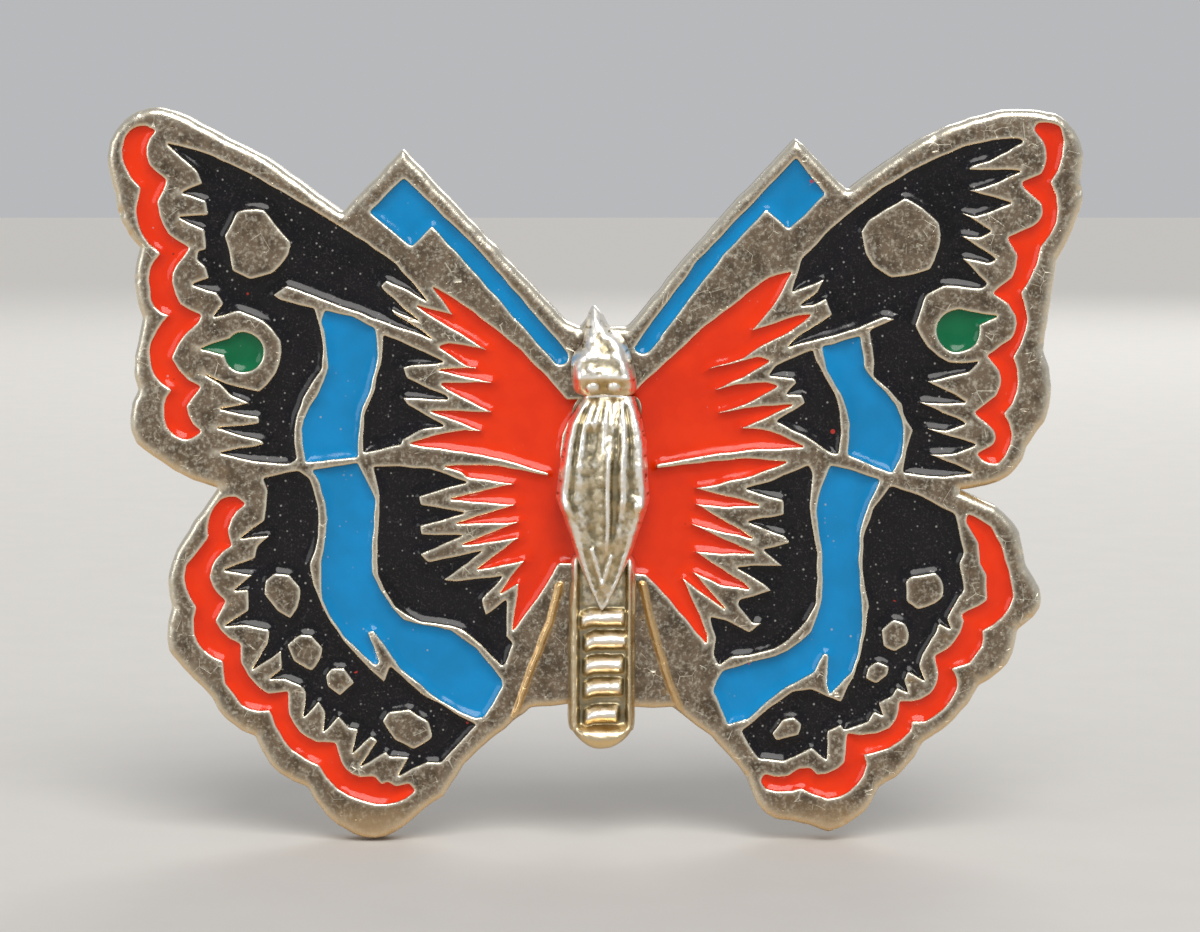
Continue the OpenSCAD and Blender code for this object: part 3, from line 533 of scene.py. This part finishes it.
def thorax_height(p, depth):
    """Height of the thorax, from how far each point lies across it."""
    x, z = p[:, 0], p[:, 1]
    zs, left, right = np.array(THORAX_SIDES)[::-1].T
    lo, hi = np.interp(z, zs, left), np.interp(z, zs, right)
    u = (x - 0.5 * (lo + hi)) / (0.5 * (hi - lo) + 0.02)
    crown = np.interp(z, [-7.4, -6.3, -5.2, -3.5, -1.5, 0.3, 1.3], [0.85, 1.05, 1.25, 1.5, 1.65, 1.3, 0.75])
    h = 0.15 + crown * (1 - 0.12 * u * u) * np.clip(1 - np.abs(u) ** 12, 0, 1) ** 0.5
    # long ridges and hollows that fan out from the neck
    h += 0.15 * bell(u, -0.84, 0.1) * between(z, -3.0, 0.8)
    h -= 0.13 * bell(u, -0.66, 0.08) * between(z, -3.4, 0.9)
    h -= 0.24 * bell(u, -0.3, 0.24) * between(z, -4.6, 0.1)
    h += 0.22 * bell(u, 0.1, 0.06) * between(z, -4.8, -0.9)
    h -= 0.13 * bell(u, 0.26, 0.09) * between(z, -4.4, 0.6)
    h += 0.15 * bell(u, 0.44, 0.07) * between(z, -3.2, -0.2)
    h -= 0.1 * bell(u, 0.62, 0.07) * between(z, -2.6, 0.9)
    h += 0.1 * bell(u, 0.86, 0.08) * between(z, -2.6, 0.7)
    h += 0.035 * np.cos(u * 24 + 0.6) * between(z, -0.9, 1.0, 0.5) * ramp(1 - np.abs(u), 0.05, 0.3)
    # rough shoulders, the small V near the tip, and the raised rims that meet there
    h += 0.35 * bell(np.linalg.norm(p - (-1.42, -3.2), axis=1), 0, 0.34)
    h += 0.35 * bell(np.linalg.norm(p - (1.72, -3.1), axis=1), 0, 0.32)
    inner = np.abs(u) < 0.8
    h -= 0.12 * inner * ramp(-z, 4.3, 5.2) * ramp(0.8 - np.abs(u), 0.0, 0.2)
    for start, end in (((-0.32, -4.9), (0.08, -6.35)), ((0.45, -5.2), (0.1, -6.35))):
        h += 0.12 * bell(to_line(p, start, end), 0, 0.075)
    h += 0.05 * hills(p, 0.45, 41.0) + 0.022 * hills(p, 0.16, 42.0)
    return np.maximum(h, 0.12)


def abdomen_height(p, depth):
    """Height of the abdomen: a frame round a trough with cross bars."""
    x, z = p[:, 0], p[:, 1]
    h = 0.1 + 0.66 * dome(depth, 0.34)
    trough = between(x, -0.92, 1.12, 0.1) * between(z, -12.35, -4.0, 0.15)
    h -= 0.34 * trough
    # a fine line runs down the inner side of the right rail
    h += 0.14 * bell(x, 1.2, 0.06) * between(z, -12.0, -5.8)
    h -= 0.1 * bell(x, 1.34, 0.05) * between(z, -12.0, -5.8)
    for middle, start, end in BARS:
        # each bar is a soft wave whose left end droops
        spine = middle - 0.06 - 0.14 * bell(x, start + 0.05, 0.28)
        lift = np.clip(1 - ((z - spine) / 0.39) ** 2, 0, 1)
        h += 0.5 * lift * between(x, start + 0.08, end - 0.08, 0.12) * trough
    h += 0.3 * bell(z, -12.75, 0.35) * dome(depth, 0.6)
    h += 0.05 * hills(p, 0.45, 51.0) + 0.02 * hills(p, 0.15, 52.0)
    return h


def relief(built, line, height):
    """Adds a closed lump with this outline and this height over the land."""
    loop = wander(smooth_loop(line))
    edge = Edges([loop])
    near = rings([loop], edge, BODY_ROWS, -1)
    far = grid(loop.min(axis=0), loop.max(axis=0), BODY_PITCH)
    far = far[inside(far, [loop])]
    far = far[edge.distance(far) > 0.16]
    xz, tris = triangulate([loop], np.vstack([near, far]))
    y = FRONT - height(xz, edge.distance(xz))
    built.sheet(xz, y, tris)
    side = y[: len(loop)]
    built.wall([(loop, side), (loop, FRONT + BODY_FOOT)])
    flat, faces = triangulate([loop], np.zeros((0, 2)))
    built.sheet(flat, FRONT + BODY_FOOT, faces, front=False)


def ball(built, middle, radius, down=16, around=24):
    """Adds a small sphere."""
    verts, faces = [], []
    for i in range(1, down):
        a = math.pi * i / down
        for j in range(around):
            b = 2 * math.pi * j / around
            verts.append((math.sin(a) * math.cos(b), math.cos(a), math.sin(a) * math.sin(b)))
    for i in range(down - 2):
        for j in range(around):
            k = (j + 1) % around
            p, q, r, t = i * around + j, i * around + k, (i + 1) * around + k, (i + 1) * around + j
            faces += [(p, q, r), (p, r, t)]
    n = len(verts)
    verts += [(0, 1, 0), (0, -1, 0)]
    for j in range(around):
        k = (j + 1) % around
        faces += [(n, k, j), (n + 1, n - around + j, n - around + k)]
    built.add(np.array(middle) + radius * np.array(verts), faces)


def softened(name, material, width):
    """A finding with its edges broken, in place of its plain CAD node."""
    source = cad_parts[name]
    bm = bmesh.new()
    bm.from_mesh(source.data)
    bmesh.ops.remove_doubles(bm, verts=bm.verts, dist=0.0005 * MM)
    bmesh.ops.dissolve_limit(bm, angle_limit=math.radians(1), verts=bm.verts, edges=bm.edges)
    sharp = [e for e in bm.edges if len(e.link_faces) == 2 and e.calc_face_angle() > math.radians(35)]
    bmesh.ops.bevel(bm, geom=sharp, offset=width * MM, offset_type="OFFSET", segments=3, profile=0.5,
        affect="EDGES", clamp_overlap=True)
    mesh = bpy.data.meshes.new(name.replace("_", "-"))
    bm.to_mesh(mesh)
    bm.free()
    mesh.materials.append(material)
    mesh.polygons.foreach_set("use_smooth", [True] * len(mesh.polygons))
    mesh.set_sharp_from_angle(angle=math.radians(32))
    obj = bpy.data.objects.new(mesh.name, mesh)
    bpy.context.scene.collection.objects.link(obj)
    return obj


def body_piece(material):
    """Head, thorax and abdomen with their chased detail."""
    built = Builder()
    sides = [(r, z) for z, _, r in THORAX_SIDES] + [(l, z) for z, l, _ in THORAX_SIDES[::-1]]
    relief(built, ABDOMEN_LINE, abdomen_height)
    relief(built, sides, thorax_height)
    relief(built, HEAD_LINE, head_height)
    for x, z in BEADS:
        ball(built, (x, FRONT - BEAD_RISE, z), BEAD_RADIUS)
    return built.build("body", material)


def mark_relief(obj, size=6, scale=0.035):
    """Fills the edge attribute with how far each point stands proud of its surroundings, which the body's
    material turns into painted highlight where proud and painted shade where sunk.
    """
    mesh = obj.data
    count = len(mesh.vertices)
    place = np.empty(count * 3)
    mesh.vertices.foreach_get("co", place)
    place = place.reshape(-1, 3)[:, 1] / MM
    ends = np.empty(len(mesh.edges) * 2, int)
    mesh.edges.foreach_get("vertices", ends)
    a, b = ends.reshape(-1, 2).T
    links = np.bincount(a, minlength=count) + np.bincount(b, minlength=count) + 1e-9
    flat = place.copy()
    for _ in range(size):
        flat = (np.bincount(a, flat[b], count) + np.bincount(b, flat[a], count)) / links
    proud = (flat - place) / scale
    mesh.attributes["edge"].data.foreach_set("value", np.clip(0.5 + 0.5 * proud, 0, 1))


def mark_painted_reflection(obj):
    """Gives each point an attribute for how far its surface looks down, where the material paints a warm
    reflection of light from below.
    """
    mesh = obj.data
    normals = np.empty(len(mesh.vertices) * 3)
    mesh.vertex_normals.foreach_get("vector", normals)
    down = np.clip(-1.5 * normals.reshape(-1, 3)[:, 2], 0, 1)
    mesh.attributes.new("under", "FLOAT", "POINT").data.foreach_set("value", down)


def warm_veins(obj):
    """Tints the veins of the tail warm too, by writing them into the attribute that carries the painted
    reflection.
    """
    mesh = obj.data
    place = np.empty(len(mesh.vertices) * 3)
    mesh.vertices.foreach_get("co", place)
    place = place.reshape(-1, 3) / MM
    xz = place[:, [0, 2]]
    beyond = vein_edges.distance(xz) * np.where(inside(xz, veins), -1, 1)
    near = (1 - ramp(beyond, 0.0, 0.1)) * (place[:, 1] < FRONT + 0.1)
    under = mesh.attributes["under"].data
    down = np.empty(len(mesh.vertices))
    under.foreach_get("value", down)
    under.foreach_set("value", np.maximum(down, near))


# ---------------------------------------------------------------- materials

# Heights between which the lowest lobes turn tan, in m
LOW_LOBES = (-0.0152, -0.0168)
LOBE_TAN = (0.56, 0.4, 0.23)
# Frame of the abdomen, in m: its middle, where its rails start beside it, its top and its end
BODY_MIDDLE = 0.0001
RAIL_START = (0.00092, 0.00104)
ABDOMEN_TOP = (-0.0054, -0.0064)
ABDOMEN_END = (-0.0121, -0.0124)
CREAM = (0.96, 0.9, 0.74)


class Shader:
    """Short way to wire a procedural material. Lengths are in mm of object space."""

    def __init__(self, name):
        self.mat = bpy.data.materials.new(name)
        self.mat.use_nodes = True
        self.tree = self.mat.node_tree
        self.bsdf = self.tree.nodes["Principled BSDF"]
        self.where = self.node("ShaderNodeTexCoord").outputs["Object"]

    def node(self, kind, inputs=(), **settings):
        made = self.tree.nodes.new(kind)
        for key, value in settings.items():
            setattr(made, key, value)
        for key, value in dict(inputs).items():
            self.put(made.inputs[key], value)
        return made

    def put(self, socket, value):
        if isinstance(value, bpy.types.NodeSocket):
            self.tree.links.new(value, socket)
        else:
            socket.default_value = value

    def set(self, **values):
        for key, value in values.items():
            self.put(self.bsdf.inputs[key.replace("_", " ")], value)

    def noise(self, size, detail=2.0, rough=0.5, seed=0.0):
        """Noise, 0 to 1, whose features are about this many mm across."""
        made = self.node("ShaderNodeTexNoise", {"Scale": 1 / (size * MM), "Detail": detail,
            "Roughness": rough, "Vector": self.where, "W": seed}, noise_dimensions="4D")
        return made.outputs["Fac"]

    def cells(self, size, feature="F1", seed=0.0):
        """Distance in a pattern of cells about this many mm across."""
        made = self.node("ShaderNodeTexVoronoi", {"Scale": 1 / (size * MM), "Vector": self.where,
            "W": seed}, voronoi_dimensions="4D", feature=feature)
        return made.outputs["Distance"]

    def span(self, value, low, high, out_low=0.0, out_high=1.0):
        """Maps low..high to out_low..out_high, held at both ends."""
        made = self.node("ShaderNodeMapRange", {"Value": value, "From Min": low, "From Max": high,
            "To Min": out_low, "To Max": out_high}, interpolation_type="SMOOTHSTEP")
        return made.outputs["Result"]

    def math(self, operation, a, b=0.0):
        made = self.node("ShaderNodeMath", operation=operation)
        self.put(made.inputs[0], a)
        self.put(made.inputs[1], b)
        return made.outputs[0]

    def times(self, a, b):
        return self.math("MULTIPLY", a, b)

    def mix(self, factor, a, b):
        made = self.node("ShaderNodeMix", data_type="RGBA")
        self.put(made.inputs["Factor"], factor)
        for socket, value in zip(made.inputs[6:8], (a, b)):
            self.put(socket, (*value, 1.0) if isinstance(value, tuple) else value)
        return made.outputs[2]

    def attribute(self, name):
        return self.node("ShaderNodeAttribute", attribute_name=name).outputs["Fac"]

    def bump(self, height, depth, strength=1.0, under=None):
        """Relief, with the height 0 to 1 standing for this depth in mm."""
        made = self.node("ShaderNodeBump", {"Height": height, "Distance": depth * MM, "Strength": strength})
        if under is not None:
            self.put(made.inputs["Normal"], under)
        return made.outputs["Normal"]


def enamel_material(name, colour, dark, fleck, flecks, pale, grainy):
    """Fired glassy enamel: smooth and bright, with specks, bubbles and stray grains of another colour.
    flecks, pale and grainy say how much of it holds coloured grains, pale specks and fine powdery grain."""
    s = Shader(name)
    base = s.mix(s.span(s.noise(1.6, 3), 0.3, 0.7), colour, dark)
    # fine powdery grain
    grain = s.span(s.noise(0.09, 3, 0.7, seed=3.0), 0.52, 0.78)
    base = s.mix(s.times(grain, grainy), base, (0.14, 0.125, 0.125))
    # small dark pits, pale specks and coloured grains
    chosen = s.span(s.noise(1.1, 2, seed=2.0), 0.5, 0.6)
    spot = s.span(s.cells(0.6, seed=1.0), 0.12, 0.07)
    base = s.mix(s.times(s.times(spot, chosen), 0.7), base, (0.02, 0.015, 0.015))
    chosen = s.span(s.noise(0.7, 2, seed=8.0), 0.62 - 0.26 * pale, 0.72 - 0.26 * pale)
    spot = s.span(s.cells(0.24, seed=5.0), 0.26, 0.12)
    base = s.mix(s.times(s.times(spot, chosen), 0.6), base, (0.42, 0.4, 0.38))
    chosen = s.span(s.noise(1.5, 2, seed=12.0), 0.66 - flecks, 0.68 - flecks)
    spot = s.span(s.cells(0.9, seed=9.0), 0.13, 0.09)
    base = s.mix(s.times(spot, chosen), base, fleck)
    rough = s.span(s.noise(0.5, 3, seed=4.0), 0.3, 0.8, 0.07, 0.2)
    relief = s.bump(s.noise(0.35, 2, seed=6.0), 0.02, 0.4)
    relief = s.bump(s.span(s.cells(0.5, seed=14.0), 0.0, 0.1), 0.015, 0.6, relief)
    s.set(Base_Color=base, Roughness=rough, Normal=relief, Specular_IOR_Level=0.3)
    return s.mat


def gilt_material(name, bright, dull, stain, warm, pits=1.0):
    """Thin worn gilding over a cast alloy: mottled, bright at rubbed edges, pitted, warm on down-facing
    faces as a painted reflection of light from below, and warm on the veins too.
    """
    s = Shader(name)
    edge, under = s.attribute("edge"), s.attribute("under")
    cloud = s.span(s.noise(0.85, 4, 0.6), 0.4, 0.66)
    fine = s.span(s.noise(0.15, 4, 0.7, seed=2.0), 0.46, 0.7)
    base = s.mix(s.times(cloud, 0.75), dull, stain)
    base = s.mix(s.times(fine, 0.5), base, bright)
    # dark pores in patches, and fine bright scratches
    patch = s.span(s.noise(0.7, 2, seed=7.0), 0.45, 0.6)
    pores = s.times(s.span(s.cells(0.2, seed=3.0), 0.3, 0.14), patch)
    base = s.mix(s.times(pores, 0.6), base, stain)
    lines = s.span(s.cells(0.8, "DISTANCE_TO_EDGE", seed=21.0), 0.018, 0.006)
    lines = s.times(lines, s.span(s.noise(1.0, 2, seed=23.0), 0.56, 0.62))
    base = s.mix(s.times(lines, 0.7), base, bright)
    # the lowest lobes turn tan towards the bottom
    low = s.node("ShaderNodeSeparateXYZ", {"Vector": s.where}).outputs["Z"]
    low = s.span(low, *LOW_LOBES)
    base = s.mix(s.times(low, 0.85), base, LOBE_TAN)
    base = s.mix(edge, base, bright)
    # painted reflection: faces that look down turn warm as if lit from below, and the plate's veins share
    # this warm tint
    base = s.mix(s.times(under, 0.8), base, warm)
    rough = s.span(s.noise(0.25, 3, seed=5.0), 0.3, 0.75, 0.3, 0.48)
    rough = s.math("SUBTRACT", rough, s.times(edge, 0.12))
    relief = s.bump(s.noise(0.25, 4, 0.6, seed=6.0), 0.03 * pits, 0.7)
    relief = s.bump(s.math("SUBTRACT", 1.0, pores), 0.02, 0.7, relief)
    relief = s.bump(s.math("SUBTRACT", 1.0, lines), 0.02, 0.8, relief)
    s.set(Base_Color=base, Roughness=rough, Metallic=1.0, Normal=relief)
    return s.mat


def relief_material(name, bright, mid, hollow, warm, tan):
    """Chased gilding whose light tone is partly painted highlight: cream where proud as painted highlight,
    dark in hollows as painted shade, warm underneath as painted reflection, tan on the abdomen's frame.
    """
    s = Shader(name)
    edge, under = s.attribute("edge"), s.attribute("under")
    base = s.mix(s.span(s.noise(0.5, 4, 0.6), 0.42, 0.66), mid, hollow)
    # painted highlight: proud points turn cream; painted shade: sunk points turn dark
    base = s.mix(s.span(edge, 0.5, 0.95), base, bright)
    base = s.mix(s.times(s.span(edge, 0.44, 0.05), 0.8), base, hollow)
    place = s.node("ShaderNodeSeparateXYZ", {"Vector": s.where}).outputs
    aside = s.math("ABSOLUTE", s.math("SUBTRACT", place["X"], BODY_MIDDLE))
    rails = s.times(s.span(aside, *RAIL_START), s.span(place["Z"], *ABDOMEN_TOP))
    frame_part = s.math("MAXIMUM", rails, s.span(place["Z"], *ABDOMEN_END))
    base = s.mix(s.times(frame_part, 0.8), base, tan)
    # painted reflection: faces that look down turn warm as if lit from below
    base = s.mix(s.times(under, 0.75), base, warm)
    rough = s.span(s.noise(0.25, 3, seed=5.0), 0.3, 0.75, 0.27, 0.44)
    relief = s.bump(s.noise(0.3, 4, 0.6, seed=6.0), 0.03, 0.35)
    s.set(Base_Color=base, Roughness=rough, Metallic=1.0, Normal=relief)
    return s.mat


# The warm colour of each gilt is a painted reflection on down-facing faces, and on the plate also the
# veins' warm tint
GILT = gilt_material("gilt", CREAM, (0.24, 0.18, 0.125), (0.075, 0.056, 0.038), (0.74, 0.46, 0.18))
# Body gilding: bright is painted highlight on proud points, hollow serves for mottling and for painted
# shade in sunk points, warm is painted reflection, and mid is lighter than the land partly as painted
# highlight
RELIEF_GILT = relief_material("relief_gilt", (1.0, 0.97, 0.9), (0.68, 0.6, 0.44), (0.22, 0.185, 0.11),
    (0.85, 0.58, 0.25), (0.6, 0.46, 0.24))
BRASS = gilt_material("findings_gilt", (0.9, 0.76, 0.48), (0.6, 0.48, 0.28), (0.25, 0.19, 0.1),
    (0.6, 0.42, 0.2), pits=0.6)
STEEL = gilt_material("nickel", (0.85, 0.84, 0.82), (0.55, 0.54, 0.53), (0.25, 0.25, 0.25),
    (0.5, 0.49, 0.47), pits=0.3)
# Colour, its darker clouds, colour of the flecks, and how much has flecks, pale specks and fine grain
ENAMEL_LOOKS = {
    "red": enamel_material("enamel_red",
        (0.78, 0.034, 0.001), (0.68, 0.026, 0.001), (0.1, 0.02, 0.01), 0.0, 0.1, 0.0),
    "blue": enamel_material("enamel_blue",
        (0.001, 0.225, 0.52), (0.001, 0.19, 0.43), (0.5, 0.07, 0.1), 0.17, 0.3, 0.0),
    "black": enamel_material("enamel_black",
        (0.004, 0.003, 0.005), (0.002, 0.0015, 0.002), (0.4, 0.03, 0.02), 0.17, 1.0, 0.35),
    "green": enamel_material("enamel_green",
        (0.001, 0.14, 0.055), (0.001, 0.11, 0.04), (0.02, 0.1, 0.05), 0.0, 0.2, 0.0),
}


# ---------------------------------------------------------------- pieces

plate = plate_piece(GILT)
mark_painted_reflection(plate)
warm_veins(plate)
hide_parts("base_plate")
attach(plate, "brooch")
for index, node_name in enumerate(ENAMELS):
    pool = enamel_piece(node_name, ENAMEL_LOOKS[node_name.split("_")[-1]], 20.0 + index)
    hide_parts(node_name)
    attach(pool, "brooch")
body = body_piece(RELIEF_GILT)
mark_relief(body)
mark_painted_reflection(body)
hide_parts("body_casting")
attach(body, "brooch")
# name: material, width of the broken edge, body, slot
FINDINGS = {
    "hinge_bracket": (BRASS, 0.09, "brooch", "gilt_findings"),
    "catch_housing": (BRASS, 0.09, "brooch", "gilt_findings"),
    "hinge_rivet": (STEEL, 0.13, "brooch", "nickel_steel"),
    "pin_stem": (STEEL, 0.05, "pin", "nickel_steel"),
    "catch_lock": (STEEL, 0.07, "lock", "nickel_steel"),
}
for node_name, (material, width, mover, finish) in FINDINGS.items():
    piece = softened(node_name, material, width)
    mark_painted_reflection(piece)
    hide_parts(node_name)
    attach(piece, mover)


# ---------------------------------------------------------------- setting


def soft_light(name, place, size, power):
    """A round lamp that looks at the middle of the frame."""
    data = bpy.data.lights.new(name, "AREA")
    data.shape = "DISK"
    data.size = size
    data.energy = power
    obj = bpy.data.objects.new(name, data)
    obj.location = place
    obj.rotation_euler = (-Vector(place)).to_track_quat("-Z", "Y").to_euler()
    bpy.context.scene.collection.objects.link(obj)


FLOOR_HALF = 2.0
FLOOR_DROP = 0.0001
bm = bmesh.new()
bmesh.ops.create_grid(bm, x_segments=1, y_segments=1, size=FLOOR_HALF)
floor_mesh = bpy.data.meshes.new("floor")
bm.to_mesh(floor_mesh)
bm.free()
floor = bpy.data.objects.new("floor", floor_mesh)
floor.location.z = cad_box[0][2] - FLOOR_DROP
bpy.context.scene.collection.objects.link(floor)
paper = Shader("floor_paper")
tone = paper.mix(paper.noise(4.0, 3), (0.56, 0.545, 0.52), (0.52, 0.505, 0.48))
paper.set(Base_Color=tone, Roughness=0.85, Normal=paper.bump(paper.noise(0.8, 4), 0.03, 0.4))
floor_mesh.materials.append(paper.mat)

world = bpy.data.worlds.new("soft_room")
bpy.context.scene.world = world
world.use_nodes = True
world.node_tree.nodes["Background"].inputs["Color"].default_value = (0.96, 0.97, 1.0, 1)
world.node_tree.nodes["Background"].inputs["Strength"].default_value = 0.5
bpy.context.scene.view_settings.view_transform = "Standard"

sky = bpy.data.lights.new("sky", "SUN")
sky.energy = 2.3
sky.angle = math.radians(38)
sky.color = (1, 0.985, 0.95)
sky_object = bpy.data.objects.new("sky", sky)
sky_object.rotation_euler = (math.radians(42), 0, math.radians(12))
bpy.context.scene.collection.objects.link(sky_object)
soft_light("side", (-0.4, -0.25, 0.12), 0.25, 0.35)
soft_light("behind", (0.1, 0.45, 0.3), 0.3, 0.8)

CAMERA_TILT = math.radians(5)
CAMERA_DISTANCE = 0.137
AIM_HEIGHT = -0.00158
camera_data = bpy.data.cameras.new("camera")
camera_data.lens = 100
camera_data.sensor_width = 36
camera = bpy.data.objects.new("camera", camera_data)
bpy.context.scene.collection.objects.link(camera)
aim = Vector((0, FRONT * MM, AIM_HEIGHT))
camera.location = aim + CAMERA_DISTANCE * Vector((0, -math.cos(CAMERA_TILT), math.sin(CAMERA_TILT)))
camera.rotation_euler = (aim - camera.location).to_track_quat("-Z", "Y").to_euler()
bpy.context.scene.camera = camera
